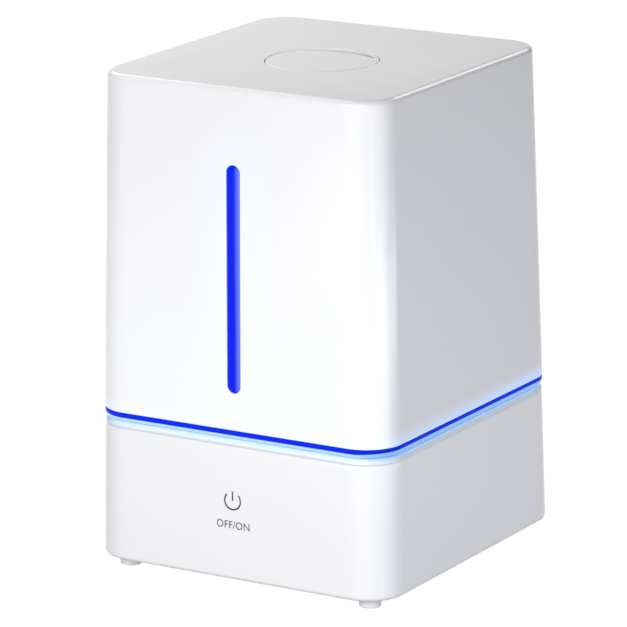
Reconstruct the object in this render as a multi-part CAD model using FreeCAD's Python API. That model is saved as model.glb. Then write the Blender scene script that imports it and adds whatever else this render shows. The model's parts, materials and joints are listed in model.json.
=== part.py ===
"""Cool mist humidifier: a tapered water tank that lifts off a square base.

Millimetres, +Z up. The origin is on the floor, at the centre of the square.
The face with the tall window and the touch control looks along -Y.
Every function below returns one piece of the object, and the last lines write
each piece to its own STEP file.
"""
import FreeCAD, Part
import math
import os

from FreeCAD import Vector

# ---------------------------------------------------------------- driving sizes
# Levels above the floor
FOOT_HEIGHT = 6.0
BASE_TOP = 84.6
SEAM = 89.9
TOP = 276.5

# Half widths along X and Y, where the square outline is measured
BASE_FOOT_HALF = (93.5, 97.2)
BASE_HEAD_HALF = (92.0, 95.65)
TANK_FOOT_HALF = (92.25, 95.95)
TANK_HEAD_HALF = (88.2, 91.75)
CORNER = 21.0

WALL = 2.5
GAP = 0.3
BASE_SHOULDER = 3.9
BASE_FOOT_ROUND = 2.5
TOP_ROUND = 3.0
DISH_DEPTH = 1.9
DISH_REACH = 85.0

# Base
FOOT_RADIUS = 6.3
FOOT_TIP_RADIUS = 6.0
FOOT_PLACE = (76.5, 82.5)
COVER_UNDERSIDE = 7.0
COVER_SCREW_PLACE = (60.0, 84.0)
FLANGE_OPENING = (80.0, 83.7)
RING_INNER_HALF = (84.0, 87.8)
RING_FOOT_ROUND = 2.6
DECK_TOP = BASE_TOP + WALL
BASIN_FLOOR = 54.0
BASIN_X = (-72.0, 26.0)
BASIN_HALF_Y = 56.0
BASIN_CORNER = 14.0
INLET_HEIGHT = 30.0
INLET_RADIUS = 7.0
INLET_FACE = 88.0

# Mist path, on the axis of the object
TRANSDUCER_RADIUS = 10.0
CHIMNEY_BORE = 12.5
CHIMNEY_WALL = 2.0
CHIMNEY_FOOT = 84.0
NOZZLE_RADIUS = 31.1
CUP_RADIUS = 31.5
CUP_FLOOR = 262.0

# Water valve, under the left half of the tank
FILL_X = -42.0
NECK_RADIUS = 20.0
NECK_BORE = 17.5
TANK_FLOOR = 92.4
TANK_FLOOR_THICK = 3.0
CAP_UNDERSIDE = 76.3
VALVE_TRAVEL = 4.0

# Float
FLOAT_Y = -38.0
FLOAT_TRAVEL = 9.0

# Fan, on the right of the basin
FAN_X = 56.0
FAN_SIZE = 50.0
FAN_FOOT = 62.0
FAN_DEPTH = 15.0
FAN_DUCT_RADIUS = 23.0
AIR_HOLE_RADIUS = 18.0

# Window in the front wall
WINDOW_WIDTH = 8.5
WINDOW_FOOT = 110.5
WINDOW_HEAD = 234.9

# Touch control
TOUCH_HEIGHT = 50.0

# Driver board
BOARD_X = (-78.0, 12.0)
BOARD_Y = (-66.0, 14.0)
BOARD_LOW = 16.0
BOARD_TOP = 17.6

UP = Vector(0, 0, 1)


# ---------------------------------------------------------------- shared shapes
def outline(half_x, half_y, corner, z):
    """A rectangle with round corners, as a closed wire at height z."""
    inner_x = half_x - corner
    inner_y = half_y - corner
    centres = ((inner_x, inner_y), (-inner_x, inner_y), (-inner_x, -inner_y), (inner_x, -inner_y))
    edges = []
    ends = []
    for quarter, (cx, cy) in enumerate(centres):
        points = []
        for turn in (0, 45, 90):
            angle = math.radians(90 * quarter + turn)
            points.append(Vector(cx + corner * math.cos(angle), cy + corner * math.sin(angle), z))
        edges.append(Part.Arc(*points).toShape())
        ends.append((points[0], points[2]))
    sides = []
    for quarter in range(4):
        start = ends[quarter][1]
        finish = ends[(quarter + 1) % 4][0]
        sides.append(Part.LineSegment(start, finish).toShape())
    ordered = []
    for arc, side in zip(edges, sides):
        ordered += [arc, side]
    return Part.Wire(ordered)


def block(half_x, half_y, corner, low, high):
    """A straight block with round vertical corners."""
    return Part.Face(outline(half_x, half_y, corner, low)).extrude(UP * (high - low))


def tapered(low_half, high_half, corner, low, high, inset=0.0):
    """A block with round corners whose sides lean in from low to high."""
    wires = []
    for half, z in ((low_half, low), (high_half, high)):
        wires.append(outline(half[0] - inset, half[1] - inset, corner - inset, z))
    return Part.makeLoft(wires, True, True)


def between(low_half, high_half, low, high, z):
    """The half widths at height z of a side that leans from low to high."""
    share = (z - low) / (high - low)
    return tuple(a + (b - a) * share for a, b in zip(low_half, high_half))


def base_half(z):
    return between(BASE_FOOT_HALF, BASE_HEAD_HALF, FOOT_HEIGHT, BASE_TOP, z)


def tank_half(z):
    return between(TANK_FOOT_HALF, TANK_HEAD_HALF, SEAM, TOP, z)


def rod(radius, low, high, x=0.0, y=0.0):
    return Part.makeCylinder(radius, high - low, Vector(x, y, low))


def pipe(outer, inner, low, high, x=0.0, y=0.0):
    return rod(outer, low, high, x, y).cut(rod(inner, low - 1, high + 1, x, y))


def bar(x_range, y_range, z_range):
    size = [pair[1] - pair[0] for pair in (x_range, y_range, z_range)]
    return Part.makeBox(*size, Vector(x_range[0], y_range[0], z_range[0]))


def fuse(shapes):
    first = shapes[0]
    return first.fuse(shapes[1:]).removeSplitter()


def group(shapes):
    """Separate solids that share one node."""
    return Part.makeCompound(shapes)


def around(shape, count, x=0.0, y=0.0, start=0.0):
    """Copies of a shape, spaced evenly about a vertical axis."""
    copies = []
    for index in range(count):
        copy = shape.copy()
        copy.rotate(Vector(x, y, 0), UP, start + 360.0 * index / count)
        copies.append(copy)
    return copies


def four(x, y):
    """The four places at plus and minus x and plus and minus y."""
    return [(sx * x, sy * y) for sx in (-1, 1) for sy in (-1, 1)]


def level_edges(shape, z, reach):
    """The edges of a shape that lie flat at height z, outside a half width."""
    chosen = []
    for edge in shape.Edges:
        box = edge.BoundBox
        flat = abs(box.ZMin - z) < 0.01 and abs(box.ZMax - z) < 0.01
        outside = max(abs(box.XMin), abs(box.XMax), abs(box.YMin), abs(box.YMax)) > reach
        if flat and outside:
            chosen.append(edge)
    return chosen


def screw(x, y, head_low, head_radius, head_height, shank_radius, shank_top):
    """A pan head screw, driven upwards, with a cross recess in its head."""
    head = rod(head_radius, head_low, head_low + head_height, x, y)
    shank = rod(shank_radius, head_low, shank_top, x, y)
    long_half = head_radius * 0.6
    thin_half = head_radius * 0.14
    depth = (head_low - 1, head_low + head_height * 0.6)
    slot_a = bar((x - long_half, x + long_half), (y - thin_half, y + thin_half), depth)
    slot_b = bar((x - thin_half, x + thin_half), (y - long_half, y + long_half), depth)
    return head.fuse(shank).cut(slot_a.fuse(slot_b))


def coil(radius, wire_radius, low, high, turns):
    """A compression spring on the Z axis, between two levels."""
    length = high - low - 2 * wire_radius
    path = Part.makeHelix(length / turns, length, radius)
    ring = Part.Wire(Part.makeCircle(wire_radius, Vector(radius, 0, 0), Vector(0, 1, 0)))
    spring = Part.Wire(path).makePipeShell([ring], True, True)
    spring.translate(Vector(0, 0, low + wire_radius))
    return spring


# ---------------------------------------------------------------- base: shells
def base_housing():
    """The lower case: four walls, an inward flange on top and screw bosses."""
    body = tapered(BASE_FOOT_HALF, BASE_HEAD_HALF, CORNER, FOOT_HEIGHT, BASE_TOP)
    body = body.makeFillet(BASE_SHOULDER, level_edges(body, BASE_TOP, 60))
    body = body.makeFillet(BASE_FOOT_ROUND, level_edges(body, FOOT_HEIGHT, 60))
    ceiling = BASE_TOP - WALL
    spring_line = ceiling - BASE_SHOULDER
    low = FOOT_HEIGHT - 1
    hollow = tapered(base_half(low), base_half(spring_line), CORNER, low, spring_line, WALL)
    upper_half = [half - WALL - BASE_SHOULDER for half in base_half(ceiling)]
    hollow = hollow.fuse(block(*upper_half, CORNER - BASE_SHOULDER, spring_line - 1, ceiling))
    opening = block(*FLANGE_OPENING, CORNER - 9, ceiling - 1, BASE_TOP + 1)
    body = body.cut(hollow).cut(opening)
    boss_foot = COVER_UNDERSIDE + WALL
    bosses = []
    for x, y in four(*COVER_SCREW_PLACE):
        wall_y = math.copysign(base_half(boss_foot)[1] - WALL / 2, y)
        web = bar((x - 1, x + 1), sorted((y, wall_y)), (boss_foot, boss_foot + 24))
        bosses += [rod(4.2, boss_foot, boss_foot + 24, x, y), web]
    inlet_y = base_half(INLET_HEIGHT)[1] - WALL / 2
    collar = Part.makeCylinder(INLET_RADIUS + 2.5, inlet_y - INLET_FACE,
                               Vector(0, INLET_FACE, INLET_HEIGHT), Vector(0, 1, 0))
    body = fuse([body] + bosses + [collar])
    pilot_holes = [rod(1.4, boss_foot - 1, boss_foot + 18, x, y) for x, y in four(*COVER_SCREW_PLACE)]
    socket = Part.makeCylinder(INLET_RADIUS, 20, Vector(0, INLET_FACE - 1, INLET_HEIGHT), Vector(0, 1, 0))
    return body.cut(group(pilot_holes)).cut(socket)


def bottom_cover():
    """The floor of the base, with air slots under the fan and board posts."""
    half = [width - WALL - GAP for width in base_half(COVER_UNDERSIDE)]
    top = COVER_UNDERSIDE + WALL
    plate = block(half[0], half[1], CORNER - WALL - GAP, COVER_UNDERSIDE, top)
    posts = [rod(3.2, top, BOARD_LOW, x, y) for x, y in board_corners()]
    plate = fuse([plate] + posts)
    slots = []
    for index in range(9):
        y = (index - 4) * 6.0
        slots.append(bar((FAN_X - 22, FAN_X + 22), (y - 1.4, y + 1.4), (COVER_UNDERSIDE - 1, top + 1)))
    plate = plate.cut(group(slots))
    plate = plate.cut(group([rod(1.7, COVER_UNDERSIDE - 1, top + 1, x, y) for x, y in four(*COVER_SCREW_PLACE)]))
    return plate.cut(group([rod(1.2, top - 1, BOARD_LOW + 1, x, y) for x, y in board_corners()]))


def foot(x, y):
    """A round foot that narrows a little towards the floor."""
    return Part.makeCone(FOOT_TIP_RADIUS, FOOT_RADIUS, COVER_UNDERSIDE, Vector(x, y, 0)).cut(
        rod(2.0, -1, 1.5, x, y))


def cover_screws():
    """Four screws that hold the bottom cover to the housing's bosses."""
    screws = []
    for x, y in four(*COVER_SCREW_PLACE):
        screws.append(screw(x, y, COVER_UNDERSIDE - 1.8, 2.8, 1.8, 1.4, COVER_UNDERSIDE + WALL + 14))
    return group(screws)


def basin_block(grow, low, high):
    """The well of the basin, grown sideways by a wall thickness."""
    half_x = (BASIN_X[1] - BASIN_X[0]) / 2 + grow
    centre_x = (BASIN_X[1] + BASIN_X[0]) / 2
    shape = block(half_x, BASIN_HALF_Y + grow, BASIN_CORNER + grow, low, high)
    shape.translate(Vector(centre_x, 0, 0))
    return shape


def deck_half():
    return [half - GAP for half in RING_INNER_HALF]


def clamp_places():
    """Where the three transducer screws stand."""
    places = []
    for index in range(3):
        angle = math.radians(90 + 120 * index)
        places.append((15.0 * math.cos(angle), 15.0 * math.sin(angle)))
    return places


def basin_deck():
    """The top tray of the base: a flat deck with a deep water basin in it."""
    half_x, half_y = deck_half()
    plate = block(half_x, half_y, CORNER - 9, BASE_TOP, DECK_TOP)
    well = basin_block(WALL, BASIN_FLOOR - WALL, BASE_TOP + 1)
    post = rod(3.0, BASIN_FLOOR - 1, 82.0, 0, FLOAT_Y)
    valve_post = rod(3.0, BASIN_FLOOR - 1, 72.6, FILL_X, 0)
    ribs = []
    for angle in (0, 90):
        rib = bar((-6, 6), (-0.8, 0.8), (BASIN_FLOOR - 1, 66))
        rib.rotate(Vector(0, 0, 0), UP, angle)
        rib.translate(Vector(FILL_X, 0, 0))
        ribs.append(rib)
    bosses = [rod(2.6, 49.9, BASIN_FLOOR - 1, x, y) for x, y in clamp_places()]
    solid = plate.fuse(well).cut(basin_block(0.0, BASIN_FLOOR, DECK_TOP + 1))
    solid = fuse([solid, post, valve_post] + ribs + bosses)
    solid = solid.cut(rod(8.5, 40, BASIN_FLOOR + 1))
    solid = solid.cut(rod(AIR_HOLE_RADIUS, BASE_TOP - 1, DECK_TOP + 1, FAN_X, 0))
    groove = block(82.6, 86.3, CORNER - 10, BASE_TOP - 1, BASE_TOP + 0.8)
    groove = groove.cut(block(81.0, 84.7, CORNER - 11, BASE_TOP - 2, BASE_TOP + 1))
    solid = solid.cut(groove)
    snap = pipe(3.5, 2.4, 80.2, 81.2, 0, FLOAT_Y)
    solid = solid.cut(snap)
    return solid.cut(group([rod(1.1, 45, 52.6, x, y) for x, y in clamp_places()]))


def base_gasket():
    """A flat rubber ring that keeps water out between deck and housing."""
    ring = block(82.6, 86.3, CORNER - 10, BASE_TOP, BASE_TOP + 0.8)
    return ring.cut(block(81.0, 84.7, CORNER - 11, BASE_TOP - 1, BASE_TOP + 1))


# ---------------------------------------------------------------- base: light
def light_channel(grow, low, high):
    """The square ring-shaped space that holds the light strip."""
    outer = block(87.4 + grow, 91.2 + grow, CORNER - 5 + grow, low, high)
    return outer.cut(block(85.4 - grow, 89.2 - grow, CORNER - 7 - grow, low - 1, high + 1))


def light_ring():
    """The clear blue ring between base and tank, hollow underneath."""
    half = TANK_FOOT_HALF
    top = SEAM - GAP
    body = block(half[0] - 0.15, half[1] - 0.15, CORNER, BASE_TOP, top)
    body = body.makeFillet(RING_FOOT_ROUND, level_edges(body, BASE_TOP, 60))
    body = body.cut(block(*RING_INNER_HALF, CORNER - 8, BASE_TOP - 1, top + 1))
    return body.cut(light_channel(GAP, BASE_TOP - 1, BASE_TOP + 2.4))


def light_strip():
    """A flat circuit strip that lies on the housing, under the ring."""
    return light_channel(0.0, BASE_TOP, BASE_TOP + 0.6)


def light_leds():
    """The small lamps on the strip, evenly spaced along the four sides."""
    low = BASE_TOP + 0.6
    lamps = []
    for index in range(6):
        along = (index - 2.5) * 24.0
        for side in (-1, 1):
            x = side * 86.4
            y = side * 90.2
            lamps.append(bar((x - 0.8, x + 0.8), (along - 1.4, along + 1.4), (low, low + 1.2)))
            lamps.append(bar((along - 1.4, along + 1.4), (y - 0.8, y + 0.8), (low, low + 1.2)))
    return group(lamps)


# ---------------------------------------------------------------- base: mist maker
def transducer_disc():
    """The piezo disc that shakes the water into mist."""
    return rod(TRANSDUCER_RADIUS, 50.3, 51.0)


def transducer_seal():
    """A soft ring that wraps the edge of the disc."""
    return pipe(12.0, 8.5, 49.9, 51.5).cut(transducer_disc())


def transducer_clamp():
    """The ring that presses disc and seal against the basin floor."""
    ring = pipe(18.2, 7.5, 48.4, 49.9)
    return ring.cut(group([rod(1.3, 47, 51, x, y) for x, y in clamp_places()]))


def clamp_screws():
    """Three screws through the clamp ring."""
    return group([screw(x, y, 46.9, 2.4, 1.5, 1.1, 52.6) for x, y in clamp_places()])


def mist_guide():
    """A tube that stands over the disc, with three gaps where water flows in."""
    tube = pipe(12.0, 10.4, BASIN_FLOOR, 79.0)
    gap = bar((0, 20), (-3.5, 3.5), (BASIN_FLOOR - 1, BASIN_FLOOR + 9))
    return tube.cut(group(around(gap, 3, start=30)))


# ---------------------------------------------------------------- base: float
def float_keeper():
    """A snap ring near the top of the post, which stops the float there."""
    return pipe(6.0, 2.4, 80.2, 81.2, 0, FLOAT_Y)


def float_sensor_board():
    """The small board under the basin that feels the float's magnet."""
    board = bar((-9, 9), (FLOAT_Y - 6, FLOAT_Y + 6), (49.6, 51.2))
    chip = bar((-2, 2), (FLOAT_Y - 2, FLOAT_Y + 2), (48.4, 49.6))
    return board.fuse(chip)


def float_body():
    """A hollow ring of foam that rises with the water in the basin."""
    ring = pipe(11.0, 3.5, 57.0, 70.0, 0, FLOAT_Y)
    return ring.cut(pipe(7.5, 4.5, 56.5, 59.0, 0, FLOAT_Y))


def float_magnet():
    """The ring magnet in the float's underside."""
    return pipe(7.5, 4.5, 57.0, 59.0, 0, FLOAT_Y)


# ---------------------------------------------------------------- base: fan
def fan_frame():
    """The square frame of the fan, with a round duct, three arms and a hub."""
    top = FAN_FOOT + FAN_DEPTH
    frame = block(FAN_SIZE / 2, FAN_SIZE / 2, 4.0, FAN_FOOT, top)
    frame.translate(Vector(FAN_X, 0, 0))
    frame = frame.cut(rod(FAN_DUCT_RADIUS, FAN_FOOT - 1, top + 1, FAN_X, 0))
    hub = rod(9.5, FAN_FOOT, FAN_FOOT + 2, FAN_X, 0)
    arm = bar((FAN_X, FAN_X + FAN_DUCT_RADIUS + 0.5), (-1.3, 1.3), (FAN_FOOT, FAN_FOOT + 2))
    frame = fuse([frame, hub] + around(arm, 3, FAN_X, 0, 50))
    frame = frame.cut(rod(2.5, FAN_FOOT + 1, FAN_FOOT + 3, FAN_X, 0))
    holes = [rod(1.8, FAN_FOOT - 1, top + 1, FAN_X + x, y) for x, y in four(20.5, 20.5)]
    return frame.cut(group(holes))


def fan_bearing():
    """The sleeve that the fan's shaft turns in."""
    return pipe(2.5, 1.05, FAN_FOOT + 1, FAN_FOOT + 11, FAN_X, 0)


def fan_stator():
    """The four wound poles around the sleeve."""
    low = FAN_FOOT + 3.2
    high = FAN_FOOT + 10
    pole = bar((FAN_X + 2, FAN_X + 7.2), (-1.8, 1.8), (low, high))
    return fuse([pipe(4.0, 2.5, low, high, FAN_X, 0)] + around(pole, 4, FAN_X, 0)).cut(
        rod(2.5, low - 1, high + 1, FAN_X, 0))


def fan_shaft():
    """The steel shaft, in the sleeve with a running clearance."""
    return rod(1.0, FAN_FOOT + 1.5, FAN_FOOT + 12.4, FAN_X, 0)


def fan_impeller():
    """A hub cup with seven tilted blades."""
    hub = rod(10.2, FAN_FOOT + 2.8, FAN_FOOT + 14, FAN_X, 0)
    hub = hub.cut(rod(8.6, FAN_FOOT + 1, FAN_FOOT + 12.4, FAN_X, 0))
    blade = Part.makeBox(12.4, 1.2, 12.0, Vector(FAN_X + 9.4, -0.6, FAN_FOOT + 2.4))
    blade.rotate(Vector(FAN_X, 0, FAN_FOOT + 8.4), Vector(1, 0, 0), 38)
    return fuse([hub] + around(blade, 7, FAN_X, 0))


def fan_screws():
    """Four screws that hold the fan and its duct to the deck."""
    top = FAN_FOOT + FAN_DEPTH + 2
    return group([screw(FAN_X + x, y, FAN_FOOT - 1.6, 2.9, 1.6, 1.5, top) for x, y in four(20.5, 20.5)])


def air_duct():
    """The short duct from the fan up to the hole in the deck."""
    low = FAN_FOOT + FAN_DEPTH
    flange = block(FAN_SIZE / 2, FAN_SIZE / 2, 4.0, low, low + 2)
    flange.translate(Vector(FAN_X, 0, 0))
    tube = rod(AIR_HOLE_RADIUS + 2, low, BASE_TOP, FAN_X, 0)
    holes = [rod(1.5, low - 1, low + 3, FAN_X + x, y) for x, y in four(20.5, 20.5)]
    return fuse([flange, tube]).cut(rod(AIR_HOLE_RADIUS, low - 1, BASE_TOP + 1, FAN_X, 0)).cut(group(holes))


def air_hood():
    """A low roof over the air hole, open towards the basin."""
    roof = rod(AIR_HOLE_RADIUS + 3, DECK_TOP, DECK_TOP + 3.6, FAN_X, 0)
    roof = roof.cut(rod(AIR_HOLE_RADIUS + 1.4, DECK_TOP - 1, DECK_TOP + 2.2, FAN_X, 0))
    mouth = bar((FAN_X - 30, FAN_X - 6), (-14, 14), (DECK_TOP - 1, DECK_TOP + 2.2))
    return roof.cut(mouth)


# ---------------------------------------------------------------- base: electrics
def board_corners():
    inset = 5.0
    return [(x, y) for x in (BOARD_X[0] + inset, BOARD_X[1] - inset)
            for y in (BOARD_Y[0] + inset, BOARD_Y[1] - inset)]


def driver_board():
    """The board that drives disc, fan and lights."""
    board = bar(BOARD_X, BOARD_Y, (BOARD_LOW, BOARD_TOP))
    return board.cut(group([rod(1.5, BOARD_LOW - 1, BOARD_TOP + 1, x, y) for x, y in board_corners()]))


def board_screws():
    """Four short screws through the board into the posts."""
    screws = []
    for x, y in board_corners():
        fastener = screw(x, y, -(BOARD_TOP + 1.4), 2.4, 1.4, 1.2, -(BOARD_LOW - 4))
        fastener.rotate(Vector(x, y, 0), Vector(1, 0, 0), 180)
        screws.append(fastener)
    return group(screws)


def board_capacitors():
    """Three upright cans on the board."""
    places = ((-66.0, -44.0), (-66.0, -28.0), (-66.0, -12.0))
    return group([rod(6.0, BOARD_TOP, BOARD_TOP + 21, x, y) for x, y in places])


def board_coil():
    """The wound ring that feeds the oscillator."""
    ring = Part.makeTorus(8.0, 4.0, Vector(-42, -50, BOARD_TOP + 4))
    return ring


def board_heatsink():
    """A finned plate for the oscillator's transistor."""
    plate = bar((-34, 4), (-6, -4), (BOARD_TOP, BOARD_TOP + 22))
    fins = []
    for index in range(7):
        x = -34 + index * 6.0
        fins.append(bar((x, x + 1.6), (-16, -5), (BOARD_TOP, BOARD_TOP + 22)))
    return fuse([plate] + fins)


def front_inside(z):
    """Where the inner face of the base's front wall is, at height z."""
    return -(base_half(z)[1] - WALL)


def touch_board():
    """The board of the touch control, behind the front wall."""
    face = front_inside(TOUCH_HEIGHT) + 6
    return bar((-14, 14), (face, face + 1.6), (TOUCH_HEIGHT - 11, TOUCH_HEIGHT + 11))


def touch_spring():
    """The sensing coil that presses on the inside of the front wall."""
    face = front_inside(TOUCH_HEIGHT)
    spring = coil(4.5, 0.4, GAP, 6.0, 4)
    spring.rotate(Vector(0, 0, 0), Vector(1, 0, 0), -90)
    spring.translate(Vector(0, face, TOUCH_HEIGHT))
    return spring


def dc_inlet():
    """The power jack behind the round recess in the rear wall."""
    low = INLET_HEIGHT - 6.0
    body = bar((-7, 7), (INLET_FACE - 14, INLET_FACE), (low, low + 12))
    hole = Part.makeCylinder(3.1, 10, Vector(0, INLET_FACE - 9, INLET_HEIGHT), Vector(0, 1, 0))
    pin = Part.makeCylinder(1.0, 9.2, Vector(0, INLET_FACE - 9.5, INLET_HEIGHT), Vector(0, 1, 0))
    return body.cut(hole).fuse(pin).removeSplitter()


# ---------------------------------------------------------------- tank
def lean_angle():
    return math.degrees(math.atan2(TANK_FOOT_HALF[1] - TANK_HEAD_HALF[1], TOP - SEAM))


def on_front(shape):
    """Lay a shape drawn on the plane y = 0 against the tank's leaning front."""
    leaning = shape.copy()
    leaning.translate(Vector(0, 0, -SEAM))
    leaning.rotate(Vector(0, 0, 0), Vector(1, 0, 0), -lean_angle())
    leaning.translate(Vector(0, -TANK_FOOT_HALF[1], SEAM))
    return leaning


def slot_shape(grow, near, far):
    """The window's long outline with round ends, from depth near to far."""
    radius = WINDOW_WIDTH / 2 + grow
    low = WINDOW_FOOT + WINDOW_WIDTH / 2
    high = WINDOW_HEAD - WINDOW_WIDTH / 2
    middle = bar((-radius, radius), (near, far), (low, high))
    ends = []
    for z in (low, high):
        ends.append(Part.makeCylinder(radius, far - near, Vector(0, near, z), Vector(0, 1, 0)))
    return fuse([middle] + ends)


def tank_hollow(low, high):
    """The space inside the tank's leaning walls, between two levels."""
    return tapered(tank_half(low), tank_half(high), CORNER, low, high, WALL)


def tank_shell():
    """Four leaning walls and a dished roof with a round cup for the nozzle."""
    body = tapered(TANK_FOOT_HALF, TANK_HEAD_HALF, CORNER, SEAM, TOP)
    body = body.makeFillet(TOP_ROUND, level_edges(body, TOP, 60))
    dish_radius = DISH_REACH ** 2 / (2 * DISH_DEPTH)
    dish = Part.makeSphere(dish_radius, Vector(0, 0, TOP - DISH_DEPTH + dish_radius))
    body = body.cut(dish.common(bar((-120, 120), (-120, 120), (TOP - 20, TOP + 5))))
    roof_underside = TOP - DISH_DEPTH - WALL
    body = body.cut(tank_hollow(SEAM - 1, roof_underside))
    cup = rod(CUP_RADIUS + WALL, CUP_FLOOR - WALL, roof_underside + 0.5)
    body = fuse([body, cup])
    body = body.cut(rod(CUP_RADIUS, CUP_FLOOR, TOP + 1))
    body = body.cut(rod(CHIMNEY_BORE, CUP_FLOOR - WALL - 1, TOP))
    return body.cut(on_front(slot_shape(0.0, -1, WALL + 1)))


def tank_base():
    """The welded floor of the tank, with the threaded filling neck."""
    slab = tank_hollow(TANK_FLOOR, TANK_FLOOR + TANK_FLOOR_THICK)
    neck = rod(NECK_RADIUS, 80, TANK_FLOOR + 1, FILL_X, 0)
    lug = pipe(NECK_RADIUS + 1.4, NECK_RADIUS - 1, 84, 86.2, FILL_X, 0)
    lug = lug.common(bar((FILL_X, FILL_X + 30), (-5.5, 5.5), (80, 90)))
    solid = fuse([slab, neck] + around(lug, 3, FILL_X, 0))
    solid = solid.cut(rod(NECK_BORE, 79, TANK_FLOOR + 4, FILL_X, 0))
    return solid.cut(rod(CHIMNEY_BORE + CHIMNEY_WALL, 80, TANK_FLOOR + 4))


def mist_chimney():
    """The tube through the tank that carries the mist up to the nozzle."""
    return pipe(CHIMNEY_BORE + CHIMNEY_WALL, CHIMNEY_BORE, CHIMNEY_FOOT, CUP_FLOOR - WALL - 1.5)


def chimney_seal():
    """A rubber ring between the tube and the nozzle's cup."""
    return pipe(CHIMNEY_BORE + CHIMNEY_WALL, CHIMNEY_BORE, CUP_FLOOR - WALL - 1.5, CUP_FLOOR - WALL)


def window_lens():
    """The clear bar in the front wall, rounded outside and flanged inside."""
    radius = WINDOW_WIDTH / 2
    low = WINDOW_FOOT + radius
    high = WINDOW_HEAD - radius
    stem = slot_shape(0.0, 0.6, WALL + 0.8)
    crown = Part.makeCylinder(radius, high - low, Vector(0, 0.6, low))
    ends = [Part.makeSphere(radius, Vector(0, 0.6, z)) for z in (low, high)]
    crown = fuse([crown] + ends).common(bar((-9, 9), (-GAP, 0.7), (low - 9, high + 9)))
    flange = slot_shape(2.5, WALL + 0.8, WALL + 2.4)
    return on_front(fuse([stem, crown, flange]))


def window_gasket():
    """The flat seal between the lens flange and the wall."""
    ring = slot_shape(2.5, WALL, WALL + 0.8).cut(slot_shape(0.0, WALL - 1, WALL + 2))
    return on_front(ring)


def light_pipe():
    """A clear strip that leads light up from the ring to the lens."""
    floor_top = TANK_FLOOR + TANK_FLOOR_THICK
    strip = on_front(bar((-3, 3), (WALL + 0.9, WALL + 2.4), (floor_top - 1, WINDOW_FOOT + 4)))
    return strip.cut(bar((-9, 9), (-120, -60), (0, floor_top))).cut(window_lens())


# ---------------------------------------------------------------- tank cap and valve
def tank_cap():
    """The bayonet cap of the filling neck, with the valve's hole."""
    outer = 24.0
    inner = NECK_RADIUS + 1.9
    floor_top = CAP_UNDERSIDE + 2.2
    cup = rod(outer, CAP_UNDERSIDE, 89.5, FILL_X, 0)
    cup = cup.cut(rod(inner, floor_top, 91, FILL_X, 0))
    rib = rod(1.0, CAP_UNDERSIDE, 89.5, FILL_X + outer, 0)
    lug = pipe(inner + 1, NECK_RADIUS + GAP, 86.5, 88.5, FILL_X, 0)
    lug = lug.common(bar((FILL_X, FILL_X + 30), (-5.5, 5.5), (80, 90)))
    cap = fuse([cup] + around(rib, 18, FILL_X, 0) + around(lug, 3, FILL_X, 0))
    return cap.cut(rod(3.6, CAP_UNDERSIDE - 1, floor_top + 1, FILL_X, 0))


def cap_gasket():
    """The flat seal that the neck presses on."""
    low = CAP_UNDERSIDE + 2.2
    return pipe(NECK_RADIUS + 1.2, NECK_BORE - 1, low, low + 1.2, FILL_X, 0)


def valve_cage():
    """The slotted cage over the valve, which guides its stem."""
    low = CAP_UNDERSIDE + 2.2
    cage = rod(12.0, low, 91.0, FILL_X, 0).cut(rod(10.4, low - 1, 89.5, FILL_X, 0))
    gap = bar((FILL_X, FILL_X + 20), (-4, 4), (low + 3, 87.5))
    cage = cage.cut(group(around(gap, 4, FILL_X, 0, 45)))
    return cage.cut(rod(2.4, 89, 92, FILL_X, 0))


def valve_stem():
    """The stem that the base pushes up, with the disc that carries the seal."""
    shape = [rod(2.4, 73.0, 79.0, FILL_X, 0), rod(2.0, 78.5, 92.0, FILL_X, 0)]
    shape.append(rod(7.5, 80.4, 82.0, FILL_X, 0))
    return fuse(shape)


def valve_seal():
    """The rubber disc that closes the hole in the cap."""
    return rod(8.0, 78.8, 80.4, FILL_X, 0).cut(valve_stem())


def valve_spring():
    """The spring that closes the valve when the tank is lifted."""
    spring = coil(4.2, 0.35, 82.0, 89.5, 4)
    spring.translate(Vector(FILL_X, 0, 0))
    return spring


# ---------------------------------------------------------------- nozzle
def crescent(low, high):
    """The crescent between two circles near the nozzle's rear rim."""
    outer = rod(28.6, low, high)
    return outer.cut(rod(45.0, low - 1, high + 1, 0, -22.0))


def nozzle_base():
    """The splash cup under the nozzle: a dish with a raised collar."""
    low = CUP_FLOOR + GAP
    high = 270.6
    rim = NOZZLE_RADIUS
    dish = rod(rim, low, high).cut(rod(rim - 1.8, low + 1.8, high + 1))
    collar = pipe(CHIMNEY_BORE + 1.8, CHIMNEY_BORE, low, 267.0)
    pivot = pipe(4.0, 2.0, 264.6, 271.2)
    arm = bar((3, CHIMNEY_BORE + 0.5), (-1.0, 1.0), (low, 266.5))
    seat = pipe(4.0, 2.0, low, 266.5)
    cup = fuse([dish.cut(rod(CHIMNEY_BORE, low - 1, high)), collar, pivot, seat] + around(arm, 3, start=90))
    return cup


def nozzle_cap():
    """The round cap, flush with the roof, with a crescent for the mist."""
    top = TOP - DISH_DEPTH + 0.2
    low = 270.6 + GAP
    plate = rod(NOZZLE_RADIUS, low, top)
    plate = plate.cut(rod(NOZZLE_RADIUS - 1.8, low - 1, top - 2.0))
    rim_edge = level_edges(plate, top, NOZZLE_RADIUS - 1)
    plate = plate.makeFillet(0.5, rim_edge)
    pin = rod(1.93, 265.0, top - 1)
    ring = pipe(6.4, 4.4, 271.8, top - 1)
    return fuse([plate, pin, ring]).cut(crescent(low - 1, top + 1))


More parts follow.
